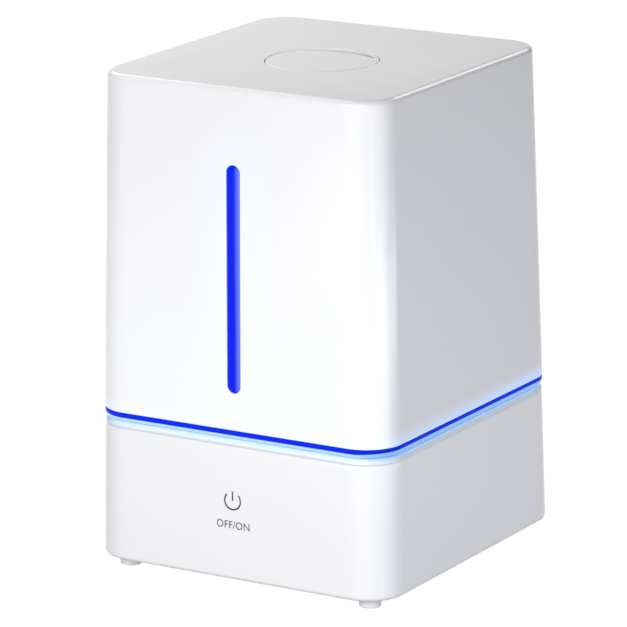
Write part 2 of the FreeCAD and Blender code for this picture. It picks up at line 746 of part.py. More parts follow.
# ---------------------------------------------------------------- every piece
def pieces():
    """Each node's name and its shape."""
    made = {}
    for function in (base_housing, bottom_cover, cover_screws, basin_deck, base_gasket,
                     light_ring, light_strip, light_leds,
                     transducer_disc, transducer_seal, transducer_clamp, clamp_screws, mist_guide,
                     float_keeper, float_sensor_board, float_body, float_magnet,
                     fan_frame, fan_bearing, fan_stator, fan_shaft, fan_impeller, fan_screws,
                     air_duct, air_hood,
                     driver_board, board_screws, board_capacitors, board_coil, board_heatsink,
                     touch_board, touch_spring, dc_inlet,
                     tank_shell, tank_base, mist_chimney, chimney_seal,
                     window_lens, window_gasket, light_pipe,
                     tank_cap, cap_gasket, valve_cage, valve_stem, valve_seal, valve_spring,
                     nozzle_base, nozzle_cap):
        made[function.__name__] = function()
    for side, x in (("left", -FOOT_PLACE[0]), ("right", FOOT_PLACE[0])):
        for end, y in (("front", -FOOT_PLACE[1]), ("rear", FOOT_PLACE[1])):
            made["foot_" + end + "_" + side] = foot(x, y)
    return made


os.makedirs("parts", exist_ok=True)
for name, shape in pieces().items():
    shape.exportStep("parts/" + name + ".step")
    box = shape.BoundBox
    print(name, "solids", len(shape.Solids), "valid", shape.isValid(), "volume", round(shape.Volume, 1),
          "z", round(box.ZMin, 2), round(box.ZMax, 2))
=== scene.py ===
# %% [markdown]
# # A cool mist humidifier
#
# The object is a white, slightly tapered water tank on a lower base. A clear ring
# between the two shines blue, and so does a tall slot in the tank's front. The
# measured model already fixes every size and every moving part, so this lesson
# only makes the looks: smooth moulded shells with soft edges, and their finishes.
# The first cell loads that model. It stays where it is, and every new piece is
# placed from it.

# %% Load the frame
import json
import math

import bmesh
import bpy
from mathutils import Matrix, Vector


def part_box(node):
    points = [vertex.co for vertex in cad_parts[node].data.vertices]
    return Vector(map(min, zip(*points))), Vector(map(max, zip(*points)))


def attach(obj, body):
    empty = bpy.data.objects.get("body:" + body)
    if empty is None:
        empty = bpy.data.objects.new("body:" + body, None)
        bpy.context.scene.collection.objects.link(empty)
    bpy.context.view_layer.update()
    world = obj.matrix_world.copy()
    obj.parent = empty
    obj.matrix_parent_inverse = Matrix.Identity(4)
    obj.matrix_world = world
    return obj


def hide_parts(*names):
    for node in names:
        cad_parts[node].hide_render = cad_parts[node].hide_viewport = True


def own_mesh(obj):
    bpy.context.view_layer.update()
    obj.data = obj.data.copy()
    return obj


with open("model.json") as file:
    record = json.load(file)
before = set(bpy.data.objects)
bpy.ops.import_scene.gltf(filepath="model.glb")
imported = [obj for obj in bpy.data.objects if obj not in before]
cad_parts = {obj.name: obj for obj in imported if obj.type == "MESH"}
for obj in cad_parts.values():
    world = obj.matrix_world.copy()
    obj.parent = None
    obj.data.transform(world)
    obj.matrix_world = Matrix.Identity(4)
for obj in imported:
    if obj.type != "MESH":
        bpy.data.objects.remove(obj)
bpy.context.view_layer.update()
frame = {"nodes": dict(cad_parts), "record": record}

MM = 0.001


# %% [markdown]
# ## The camera
#
# A long lens far away keeps the upright edges nearly parallel, so that the slight
# taper of the tank can be seen. The camera stands to the right of the front and
# looks down on the roof at a small angle, and it leans by less than one degree. Its
# place is worked out from those angles, so a reader can turn one of them and see
# what it does. Lengths are in metres, but lens and sensor are in millimetres.

# %% Camera
AZIMUTH = math.radians(31.52)
ELEVATION = math.radians(14.767)
LEAN = math.radians(-0.69)
DISTANCE = 2.535
SIDESTEP = -0.00637
LOOK_HEIGHT = 0.13268
LENS = 264.53
SENSOR = 36.0
SIGHT_LIMIT = 50.0


def aim_camera():
    """Create the camera from its angles, its distance and its lens."""
    away = Vector((math.sin(AZIMUTH) * math.cos(ELEVATION),
                   -math.cos(AZIMUTH) * math.cos(ELEVATION), math.sin(ELEVATION)))
    right = (-away).cross(Vector((0, 0, 1))).normalized()
    above = right.cross(-away)
    place = Vector((0, 0, LOOK_HEIGHT)) + away * DISTANCE + right * SIDESTEP
    leaning_right = right * math.cos(LEAN) + above * math.sin(LEAN)
    leaning_up = above * math.cos(LEAN) - right * math.sin(LEAN)
    turn = Matrix((leaning_right, leaning_up, away)).transposed().to_4x4()
    lens = bpy.data.cameras.new("studio_camera")
    lens.lens = LENS
    lens.sensor_width = SENSOR
    lens.clip_end = SIGHT_LIMIT
    camera = bpy.data.objects.new("studio_camera", lens)
    camera.matrix_world = Matrix.Translation(place) @ turn
    bpy.context.scene.collection.objects.link(camera)
    bpy.context.scene.camera = camera
    return camera


camera = aim_camera()
print("camera stands at", [round(value, 3) for value in camera.location])


# %% [markdown]
# ## Wiring a finish
#
# A finish is a small network of nodes. Written node by node it is long and hard to
# read, so two small classes help. `Number` wraps a socket, so that plain sums such
# as `1 - mask` add the Math nodes. `Finish` makes a material with one shader and
# adds any other node with a single method. Colours go through Mix nodes, because a
# Math node would turn them grey.

# %% Number and Finish
class Number:
    """A socket that carries a number. Sums written with it add Math nodes."""

    def __init__(self, finish, socket):
        self.finish = finish
        self.socket = socket

    def sum(self, operation, *values):
        inputs = dict(enumerate(values))
        return self.finish.node("ShaderNodeMath", {"operation": operation}, inputs)

    def __add__(self, other):
        return self.sum("ADD", self, other)

    def __sub__(self, other):
        return self.sum("SUBTRACT", self, other)

    def __rsub__(self, other):
        return self.sum("SUBTRACT", other, self)

    def __mul__(self, other):
        return self.sum("MULTIPLY", self, other)

    def size(self):
        return self.sum("ABSOLUTE", self)

    def root(self):
        return self.sum("SQRT", self)

    def high_of(self, other):
        return self.sum("MAXIMUM", self, other)

    def fade(self, start, end):
        """1 at start, falling smoothly to 0 at end."""
        settings = {"interpolation_type": "SMOOTHSTEP"}
        return self.finish.node("ShaderNodeMapRange", settings,
                                {0: self, 1: start, 2: end, 3: 1.0, 4: 0.0})

    __radd__ = __add__
    __rmul__ = __mul__


class Finish:
    """A material with one Principled shader, and one method for every other node."""

    def __init__(self, name, **shader_values):
        self.material = bpy.data.materials.new(name)
        self.material.use_nodes = True
        self.tree = self.material.node_tree
        self.tree.nodes.clear()
        output = self.tree.nodes.new("ShaderNodeOutputMaterial")
        self.shader = self.tree.nodes.new("ShaderNodeBsdfPrincipled")
        self.tree.links.new(self.shader.outputs[0], output.inputs[0])
        for socket_name, value in shader_values.items():
            self.set(self.shader.inputs[socket_name.replace("_", " ")], value)
        self.place = self.node("ShaderNodeTexCoord", output="Object")

    def set(self, socket, value):
        if isinstance(value, Number):
            self.tree.links.new(value.socket, socket)
        elif isinstance(value, tuple) and len(value) == 3 and socket.type == "RGBA":
            socket.default_value = (*value, 1.0)
        else:
            socket.default_value = value

    def node(self, kind, settings=None, inputs=None, output=0):
        """Add a node, give it its settings, then the values or links of its sockets."""
        made = self.tree.nodes.new(kind)
        for name, value in (settings or {}).items():
            setattr(made, name, value)
        for name, value in (inputs or {}).items():
            self.set(made.inputs[name], value)
        return Number(self, made.outputs[output])

    def paint(self, **links):
        """Link varying values to the shader's own sockets."""
        for name, value in links.items():
            self.set(self.shader.inputs[name.replace("_", " ")], value)
        return self

    def noise(self, scale, detail=2.0, roughness=0.5):
        return self.node("ShaderNodeTexNoise", {"noise_dimensions": "3D"},
                         {"Vector": self.place, "Scale": scale, "Detail": detail,
                          "Roughness": roughness})

    def mix(self, factor, low, high):
        """A colour between low and high."""
        return self.node("ShaderNodeMix", {"data_type": "RGBA"}, {0: factor, 6: low, 7: high},
                         output=2)

    def add(self, factor, colour, more):
        """A colour with a share of another one added to it."""
        return self.node("ShaderNodeMix", {"data_type": "RGBA", "blend_type": "ADD"},
                         {0: factor, 6: colour, 7: more}, output=2)

    def axes(self):
        """The three coordinates of a point on the piece, in metres."""
        parts = self.tree.nodes.new("ShaderNodeSeparateXYZ")
        self.tree.links.new(self.place.socket, parts.inputs[0])
        return [Number(self, socket) for socket in parts.outputs]

    def bump(self, height, strength, depth):
        return self.node("ShaderNodeBump", None,
                         {"Height": height, "Strength": strength, "Distance": depth})


print("helpers for finishes are ready")


# %% [markdown]
# ## Working on an outline
#
# Both shells are squares with round corners that grow narrower as they rise. Such
# a shape is easy to think of as a core rectangle with a rim around it: moving a
# point towards the core makes an even inset, which plain scaling can't do. The
# class below holds one such outline. A ring of edges is made from one square face
# whose corners are bevelled, and each further ring is extruded from the last. A
# guard point close beside each corner keeps the flat walls flat up to the corner.

# %% The outline and its rings
CORNER_STEPS = 20
GUARD = 1.5 * MM


class Outline:
    """A square with round corners whose sides lean in as it rises. All in metres."""

    def __init__(self, half, narrowing, foot, corner):
        self.half = half
        self.narrowing = narrowing
        self.foot = foot
        self.corner = corner

    def core(self, z):
        """The half sizes of the rectangle that the corner arcs turn about."""
        return [half - self.corner - slope * (z - self.foot)
                for half, slope in zip(self.half, self.narrowing)]

    def place(self, point, from_z, inset, z):
        """Where a point of the ring at from_z goes on the ring at z, that far inside."""
        old = self.core(from_z)
        new = self.core(z)
        nearest = [max(-limit, min(limit, value)) for limit, value in zip(old, point)]
        outward = Vector((point[0] - nearest[0], point[1] - nearest[1])).normalized()
        reach = self.corner - inset
        return Vector((nearest[0] * new[0] / old[0] + outward.x * reach,
                       nearest[1] * new[1] / old[1] + outward.y * reach, z))


def first_ring(mesh, shape, inset, z):
    """The edges of the outline at height z, with a guard point beside each arc."""
    core = shape.core(z)
    reach = shape.corner - inset
    corners = bmesh.ops.create_grid(mesh, x_segments=1, y_segments=1, size=1.0)["verts"]
    bmesh.ops.scale(mesh, vec=(core[0] + reach, core[1] + reach, 1.0), verts=corners)
    bmesh.ops.translate(mesh, vec=(0, 0, z), verts=corners)
    bmesh.ops.bevel(mesh, geom=corners, offset=reach, offset_type="OFFSET", segments=CORNER_STEPS,
                    profile=0.5, affect="VERTICES", material=-1)
    bmesh.ops.delete(mesh, geom=mesh.faces[:], context="FACES_ONLY")
    for axis in (0, 1):
        for side in (-1, 1):
            cut = Vector((0, 0, z))
            cut[axis] = side * (core[axis] - GUARD)
            normal = Vector((0, 0, 0))
            normal[axis] = 1.0
            bmesh.ops.bisect_plane(mesh, geom=mesh.verts[:] + mesh.edges[:], plane_co=cut,
                                   plane_no=normal)
    return mesh.edges[:]


def next_ring(mesh, ring, move):
    """Extrude a ring of edges and put each new point where move(point) says."""
    made = bmesh.ops.extrude_edge_only(mesh, edges=ring)["geom"]
    points = [item for item in made if isinstance(item, bmesh.types.BMVert)]
    for point in points:
        point.co = move(point.co.copy())
    fresh = set(points)
    return [item for item in made
            if isinstance(item, bmesh.types.BMEdge) and set(item.verts) <= fresh]


def raise_rings(mesh, ring, shape, path):
    """Follow a path of (inset, height) pairs, one extruded ring for each."""
    for (_, from_z), (inset, z) in zip(path, path[1:]):
        ring = next_ring(mesh, ring, lambda point: shape.place(point, from_z, inset, z))
    return ring


def arc(centre, radius, start, end, steps):
    """Points on an arc about a centre, as (inset, height). 0 degrees is outwards, 90 is up."""
    points = []
    for step in range(steps + 1):
        angle = math.radians(start + (end - start) * step / steps)
        points.append((centre[0] - radius * math.cos(angle), centre[1] + radius * math.sin(angle)))
    return points


print("each round corner is drawn in", CORNER_STEPS, "steps")


# %% [markdown]
# ## Finishing a piece
#
# Every piece ends the same way. Doubled points are merged, the faces are turned
# outwards, and edges sharper than 35 degrees are marked so that smooth shading
# stops there. A moulded shell is drawn as its outer skin, and the Solidify
# modifier gives it its wall. The piece then rides on its body and stands for the
# node it replaces.

# %% Finish a piece
SHARP = math.radians(35)
SAME_POINT = 0.002 * MM


def finish_piece(mesh, name, body, material, replaces=(), wall=None, soften=None):
    """Turn a bmesh into a piece that rides on a body and replaces some nodes."""
    bmesh.ops.remove_doubles(mesh, verts=mesh.verts, dist=SAME_POINT)
    bmesh.ops.recalc_face_normals(mesh, faces=mesh.faces)
    for edge in mesh.edges:
        edge.smooth = edge.calc_face_angle(0.0) < SHARP
    for face in mesh.faces:
        face.smooth = True
    data = bpy.data.meshes.new(name)
    mesh.to_mesh(data)
    mesh.free()
    data.materials.append(material)
    piece = bpy.data.objects.new(name, data)
    bpy.context.scene.collection.objects.link(piece)
    if wall:
        shell = piece.modifiers.new("wall", "SOLIDIFY")
        shell.thickness = wall
        shell.offset = -1.0
    if soften:
        edge = piece.modifiers.new("soft_edges", "BEVEL")
        edge.width = soften
        edge.segments = 2
        edge.limit_method = "ANGLE"
        edge.angle_limit = SHARP
        edge.harden_normals = True
    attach(piece, body)
    if replaces:
        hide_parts(*replaces)
    print(name, "on", body, "-", len(data.vertices), "points")
    return piece


print("edges sharper than", round(math.degrees(SHARP)), "degrees stay sharp")


# %% [markdown]
# ## White moulded plastic
#
# The shells are a glossy white plastic. Real mouldings are never perfectly even:
# the white drifts a little, the gloss is softer in places and the skin has a very
# fine ripple. Light from the ring also soaks into the plastic beside it, which
# shows as a pale blue glow that dies away within a centimetre. That glow is an
# emission that depends on the height above or below the ring, and on how far a
# point is from the front and the rear. A second one surrounds the window, and a
# much fainter white one climbs the tank's front wall: painted light that brightens
# its foot, partly for the light inside the tank and partly for the studio light
# that falls there. The base gets no such climb. Its shoulder is painted with the
# ring's blue light instead, paler at the front and deeper and darker on the sides,
# where it is painted shade too, and a thin grey line of painted shade runs where
# the crease runs, to deepen its small shadow.

# %% White finishes
ring_low, ring_high = (corner.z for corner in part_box("light_ring"))
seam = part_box("tank_shell")[0].z
lens_low, lens_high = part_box("window_lens")
window_centre = (lens_low.z + lens_high.z) / 2
HALO_INSET = 6 * MM
window_half_length = (lens_high.z - lens_low.z) / 2 - HALO_INSET
HALO = (0.0, 0.035, 0.06)
# Painted light that brightens the foot of the tank's front wall, partly for the light inside the
# tank and partly for studio light falling there.
PAINTED_RISING_LIGHT = (0.10, 0.103, 0.105)
GLOW = (0.0, 0.16, 0.46)
BASE_GLOW = (0.06, 0.17, 0.22)
GLOW_ON_FRONT = 0.25
# Painted light and shade on the base's shoulder: the ring's blue light, paler at the front, deeper
# and darker on the sides.
PAINTED_LIGHT_AND_SHADE_ON_SIDE = (0.64, 0.75, 0.88)
PAINTED_LIGHT_ON_FRONT = (0.84, 0.96, 1.0)
PAINTED_LIGHT_REACH = 5.4 * MM
# Painted shade: a thin grey line along the crease under the shoulder.
PAINTED_CREASE_SHADE = (0.72, 0.78, 0.86)
CREASE_DROP = 3.3 * MM


def on_front(across):
    """1 over the middle of the front, falling to 0 where the corners turn away."""
    return across.size().fade(74 * MM, 90 * MM)


def in_front_wall(along):
    """1 in the tank's front wall and 0 behind it."""
    return along.fade(-88 * MM, -80 * MM)


def ring_glow(finish, reach, level):
    """How strongly the ring shines through a wall: near it, and more towards the rear."""
    across, along, height = finish.axes()
    near = (height - level).size().fade(0.0, reach)
    side = 1 - across.size().fade(76 * MM, 91 * MM)
    rear = (along + 70 * MM) * (0.55 / (160 * MM)) + 0.45
    return near * (side * rear.high_of(0.3) * (1 - GLOW_ON_FRONT) + GLOW_ON_FRONT)


def painted_ring_light_on_shoulder(finish, colour):
    """The ring's blue light painted on the base's shoulder, deeper and darker on its sides as
    painted shade, with a line of painted shade along the crease.
    """
    across, _, height = finish.axes()
    near = height.fade(ring_low, ring_low - PAINTED_LIGHT_REACH)
    # the ring's blue light painted on the shoulder, darker on the sides as painted shade
    lit = finish.mix(near, colour, finish.mix(on_front(across), PAINTED_LIGHT_AND_SHADE_ON_SIDE, PAINTED_LIGHT_ON_FRONT))
    shaded = (height - (ring_low - CREASE_DROP)).size().fade(0.2 * MM, 1.3 * MM)
    # a grey line of painted shade along the crease
    return finish.mix(shaded * 0.95, lit, PAINTED_CREASE_SHADE)


def window_halo(finish):
    """1 beside the window in the front wall, fading away from it."""
    across, along, height = finish.axes()
    past_ends = ((height - window_centre).size() - window_half_length).high_of(0.0)
    away = (across * across + past_ends * past_ends).root()
    return away.fade(3 * MM, 30 * MM) * in_front_wall(along)


def climbing_light(finish, level):
    """Painted light: 1 at the foot of the tank's front wall, fading away as it rises."""
    _, along, height = finish.axes()
    return (height - level).fade(-10 * MM, 185 * MM) * in_front_wall(along)


def white_plastic(name, white, glow_reach=None, glow_level=None, glow=GLOW, halo=False,
                  paint_shoulder_light=False, gloss=0.22):
    """Glossy white, with an optional glow that fades with distance from a level."""
    finish = Finish(name, IOR=1.5, Coat_Weight=0.12, Coat_Roughness=0.06)
    drift = finish.noise(7.0, 3.0)
    shade = tuple(value * 0.975 for value in white)
    ripple = finish.noise(900.0, 2.0)
    soft = finish.noise(35.0, 4.0, 0.6)
    colour = finish.mix(drift, white, shade)
    # painted ring light and painted crease shade on the base's shoulder
    if paint_shoulder_light:
        colour = painted_ring_light_on_shoulder(finish, colour)
    finish.paint(Base_Color=colour, Roughness=soft * 0.08 + (gloss - 0.04),
                 Normal=finish.bump(ripple, 0.05, 0.02 * MM))
    if glow_reach:
        lit = ring_glow(finish, glow_reach, glow_level)
        light = finish.mix(lit, (0.0, 0.0, 0.0), glow)
        if halo:
            light = finish.mix(window_halo(finish), light, HALO)
            # painted light rising from the foot of the front wall
            light = finish.add(climbing_light(finish, glow_level), light, PAINTED_RISING_LIGHT)
        finish.paint(Emission_Color=light, Emission_Strength=1.0)
    return finish.material


SHELL_WHITE = (0.895, 0.90, 0.912)
# Painted light: the base's white is lighter than the tank's, for the stronger light on the lower
# walls.
LIT_BASE_WHITE = (0.942, 0.946, 0.958)
tank_white = white_plastic("tank_white", SHELL_WHITE, 9.0 * MM, seam, halo=True)
base_white = white_plastic("base_white", LIT_BASE_WHITE, 3.4 * MM, ring_low, glow=BASE_GLOW, paint_shoulder_light=True)
cap_white = white_plastic("cap_white", SHELL_WHITE)
inner_white = white_plastic("inner_white", (0.84, 0.85, 0.86), gloss=0.38)
foot_white = white_plastic("foot_white", (0.86, 0.86, 0.87), gloss=0.5)
print(len(bpy.data.materials), "materials so far, the white ones among them")


# %% [markdown]
# ## Lit blue plastic
#
# Ring and window are clear plastic lit from behind by blue lamps. Modelling the
# lamps and letting light find its way through would be slow and noisy. The plastic
# itself glows instead: deep blue where it is thick, paler where it curves away to
# a thin edge. The ring's lower lip is that thin edge. On the window bar, the darker
# left edge is painted shade and the lavender right side a painted reflection.

# %% Blue finishes
DEEP_BLUE = (0.001, 0.014, 0.74)
PALE_FRONT = (0.52, 0.76, 0.95)
PALE_SIDE = (0.27, 0.48, 0.86)
# Painted reflection on the right side of the window bar.
PAINTED_REFLECTION_LAVENDER = (0.2, 0.27, 0.84)
UNLIT = (0.002, 0.01, 0.1)
BRIGHT_BLUE = (0.004, 0.03, 0.95)
SIDE_BLUE = (0.001, 0.018, 0.58)
LIP_ROOT = (0.03, 0.16, 0.5)
WINDOW_BLUES = ((0.001, 0.008, 0.76), (0.002, 0.012, 0.84))
# Painted shade at the left edge of the window bar.
PAINTED_SHADE_LEFT_BLUE = (0.001, 0.012, 0.5)


def ring_blue():
    """Deep blue on the ring's band, pale where its lower lip curls in."""
    finish = Finish("ring_blue", Base_Color=UNLIT, Specular_IOR_Level=0.03, Emission_Strength=1.0)
    across, _, height = finish.axes()
    front = on_front(across)
    lip = (height + front * (0.6 * MM)).fade(ring_low + 2.9 * MM, ring_low + 3.3 * MM)
    pale = finish.mix(front, PALE_SIDE, PALE_FRONT)
    root = height.fade(ring_low + 0.4 * MM, ring_low + 1.0 * MM)
    pale = finish.mix(root * 0.75, pale, LIP_ROOT)
    uneven = finish.noise(120.0, 3.0) * 0.5
    band = finish.mix(uneven, DEEP_BLUE, BRIGHT_BLUE)
    band = finish.mix(front, SIDE_BLUE, band)
    finish.paint(Emission_Color=finish.mix(lip, band, pale),
                 Roughness=finish.noise(200.0) * 0.1 + 0.08)
    return finish.material


def window_blue(width):
    """Deep blue, with painted shade at the left edge of the bar and a painted lavender reflection
    towards the right.
    """
    finish = Finish("window_blue", Base_Color=UNLIT, Specular_IOR_Level=0.04, Emission_Strength=1.0)
    across = finish.axes()[0]
    # the right side gets a painted lavender reflection
    side = 1 - across.fade(0.09 * width, 0.56 * width)
    # the left edge gets painted shade
    left = across.fade(-0.5 * width, -0.3 * width)
    uneven = finish.noise(90.0, 2.0)
    body = finish.mix(uneven * 0.4, *WINDOW_BLUES)
    body = finish.mix(left * 0.5, body, PAINTED_SHADE_LEFT_BLUE)
    finish.paint(Emission_Color=finish.mix(side, body, PAINTED_REFLECTION_LAVENDER),
                 Roughness=finish.noise(300.0) * 0.06 + 0.08)
    return finish.material


WINDOW_WIDTH = 8.6 * MM
ring_glass = ring_blue()
window_glass = window_blue(WINDOW_WIDTH)
print("ring from", round(ring_low / MM, 1), "to", round(ring_high / MM, 1), "mm")


# %% [markdown]
# ## The base case
#
# The base is a low white box, open below for its cover and above for the water
# basin. Its lower edge is rounded, its walls lean in a little, and its top edge is
# a soft shoulder that catches the light of the ring. A faint crease runs under the
# shoulder. One skin is enough: it starts at the lower rim, climbs the wall, turns
# over the shoulder and runs in to the flange. The rear wall gets a round hole for
# the power inlet, with the tube around it drawn inwards.

# %% Base case
base_low, base_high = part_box("base_housing")
WALL = 2.5 * MM
CORNER = 21.0 * MM
BASE_NARROWING = (1.5 / 78.6, 1.55 / 78.6)
FOOT_ROUND = 2.5 * MM
SHOULDER = 3.0 * MM
FLANGE = 11.8 * MM
INLET_HOLE = 8.6 * MM
INLET_TUBE = ((7.8, 0.0), (7.45, 0.05), (7.15, 0.3), (7.0, 0.8), (7.0, 7.4))  # radius, depth in mm
OFF_MIDDLE = 50 * MM
base_outline = Outline((base_high.x, base_high.y), BASE_NARROWING, base_low.z + FOOT_ROUND, CORNER)


def crease(z):
    """A shallow groove around the wall at height z."""
    return [(0.0, z - 2.3 * MM), (0.03 * MM, z - 1.9 * MM), (0.42 * MM, z - 0.5 * MM),
            (0.48 * MM, z - 0.15 * MM), (0.43 * MM, z + 0.1 * MM), (0.05 * MM, z + 0.6 * MM),
            (0.0, z + 0.7 * MM)]


def largest_face(mesh, direction):
    """The largest upright face on the side of the piece that a direction points to."""
    mesh.normal_update()
    facing = [face for face in mesh.faces
              if abs(face.normal.dot(direction)) > 0.95
              and face.calc_center_median().dot(direction) > OFF_MIDDLE]
    return max(facing, key=lambda face: face.calc_area())


def circle_edges(mesh, radius, segments, place):
    """The edges of a new circle that a matrix puts in its place."""
    points = bmesh.ops.create_circle(mesh, cap_ends=False, segments=segments, radius=radius,
                                     matrix=place)["verts"]
    return [edge for edge in mesh.edges if edge.verts[0] in points and edge.verts[1] in points]


def open_wall(mesh, face, hole):
    """Replace one flat face by a sheet that leaves a hole open."""
    border = face.edges[:]
    bmesh.ops.delete(mesh, geom=[face], context="FACES_ONLY")
    bmesh.ops.triangle_fill(mesh, edges=border + hole, use_beauty=True)


def base_case():
    mesh = bmesh.new()
    top = base_high.z
    path = arc((FOOT_ROUND, base_low.z + FOOT_ROUND), FOOT_ROUND, -90, 0, 8)
    path += [(0.0, base_low.z + FOOT_ROUND + 1.5 * MM)]
    path += crease(top - SHOULDER - 0.8 * MM)
    path += arc((SHOULDER, top - SHOULDER), SHOULDER, 0, 90, 12)
    path += [(SHOULDER + 1.2 * MM, top), (FLANGE, top)]
    ring = first_ring(mesh, base_outline, *path[0])
    raise_rings(mesh, ring, base_outline, path)
    inlet_low, inlet_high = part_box("dc_inlet")
    height = (inlet_low.z + inlet_high.z) / 2
    rear = largest_face(mesh, Vector((0, 1, 0)))
    lean = math.atan(BASE_NARROWING[1])
    wall_y = base_outline.half[1] - BASE_NARROWING[1] * (height - base_outline.foot)
    upright = Matrix.Rotation(math.radians(-90) + lean, 4, "X")
    rim = circle_edges(mesh, INLET_HOLE, 48, Matrix.Translation((0, wall_y, height)) @ upright)
    open_wall(mesh, rear, rim)
    for radius, depth in INLET_TUBE:
        def move(point, radius=radius * MM, depth=depth * MM):
            spoke = Vector((point.x, 0, point.z - height)).normalized() * radius
            return Vector((spoke.x, wall_y - depth, height + spoke.z))
        rim = next_ring(mesh, rim, move)
    return finish_piece(mesh, "base_case", "base", base_white, ["base_housing"],
                        wall=WALL, soften=0.15 * MM)


base_case()


# %% [markdown]
# ## The light ring
#
# The ring is a clear frame that lies on the shoulder. Its outer face is a flat
# band, and below the band it curls inwards until it meets the base in a narrow
# groove. It is a closed tube in section, so the last ring of edges is bridged back
# to the first.

# %% Light ring
tank_low, tank_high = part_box("tank_shell")
TANK_NARROWING = (4.05 / 186.6, 4.2 / 186.6)
tank_outline = Outline((tank_high.x, tank_high.y), TANK_NARROWING, tank_low.z, CORNER)


def light_ring():
    mesh = bmesh.new()
    out = 0.15 * MM
    curl = 2.6 * MM
    inner = 8.1 * MM
    edge = arc((out + 0.25 * MM, ring_high - 0.25 * MM), 0.25 * MM, 90, 0, 3)
    lip = arc((out + curl, ring_low + curl), curl, 0, -90, 10)
    path = edge + [(out, ring_high - 0.5 * MM), (out, ring_low + curl + 0.3 * MM)] + lip
    path += [(inner, ring_low), (inner, ring_high)]
    start = first_ring(mesh, tank_outline, *path[0])
    end = raise_rings(mesh, start, tank_outline, path)
    bmesh.ops.bridge_loops(mesh, edges=start + end)
    return finish_piece(mesh, "ring_of_light", "base", ring_glass, ["light_ring"])


light_ring()


# %% [markdown]
# ## The tank case
#
# The tank is one tall moulding. Its roof is very slightly dished, so that drops run
# to the nozzle, and in the middle a round cup holds the nozzle. The skin climbs the
# wall, rounds the top edge and then has to become a circle: bridging the square
# ring to a circle with the same number of points does that, and cutting the bridge
# into narrow bands lets each band sink to the depth of the dish. The window is a
# long hole with round ends, made flat and then leant against the wall. It stands a
# hair to the right of the middle.

# %% Tank case
TOP_ROUND = 3.0 * MM
DISH_DEPTH = 1.9 * MM
DISH_REACH = 85.0 * MM
cup_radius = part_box("nozzle_cap")[1].x + 0.4 * MM
CUP_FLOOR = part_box("nozzle_base")[0].z - 0.3 * MM
CHIMNEY_BORE = 12.5 * MM
BRIDGE_BANDS = 14
roof = tank_high.z
WINDOW_SIDE = 0.4 * MM
WINDOW_FOOT = lens_low.z + 2.5 * MM
WINDOW_HEAD = lens_high.z - 2.4 * MM
window_middle = (WINDOW_FOOT + WINDOW_HEAD) / 2
window_straight = WINDOW_HEAD - WINDOW_FOOT - WINDOW_WIDTH
print("window from", round(WINDOW_FOOT / MM, 1), "to", round(WINDOW_HEAD / MM, 1), "mm")


def dish(radius):
    """The height of the roof at a distance from the middle."""
    return roof - DISH_DEPTH * max(0.0, 1.0 - (radius / DISH_REACH) ** 2)


def circle_ring(mesh, ring, steps):
    """Follow a path of (radius, height) pairs with extruded circles."""
    for radius, z in steps:
        def move(point, radius=radius, z=z):
            spoke = Vector((point.x, point.y)).normalized() * radius
            return Vector((spoke.x, spoke.y, z))
        ring = next_ring(mesh, ring, move)
    return ring


def long_hole(mesh, length, radius, segments=48):
    """A closed loop of edges in the XZ plane: two half circles joined by straight sides."""
    loop = circle_edges(mesh, radius, segments, Matrix.Rotation(math.radians(90), 4, "X"))
    for point in {point for edge in loop for point in edge.verts}:
        point.co.z += math.copysign(length / 2, point.co.z + 0.0001 * MM)
    return loop


def shrink_hole(mesh, ring, length, steps):
    """Extrude a long loop through (radius, depth) steps, keeping its middle line."""
    for radius, depth in steps:
        def move(point, radius=radius, depth=depth):
            middle = max(-length / 2, min(length / 2, point.z))
            spoke = Vector((point.x, point.z - middle)).normalized() * radius
            return Vector((spoke.x, depth, middle + spoke.y))
        ring = next_ring(mesh, ring, move)
    return ring


def lean_on_front(mesh, points, height):
    """Lean points drawn about the origin against the tank's front, at a height."""
    wall_y = tank_outline.half[1] - TANK_NARROWING[1] * (height - tank_low.z)
    lean = Matrix.Rotation(-math.atan(TANK_NARROWING[1]), 4, "X")
    place = Matrix.Translation((WINDOW_SIDE, -wall_y, height)) @ lean
    bmesh.ops.transform(mesh, matrix=place, verts=points)


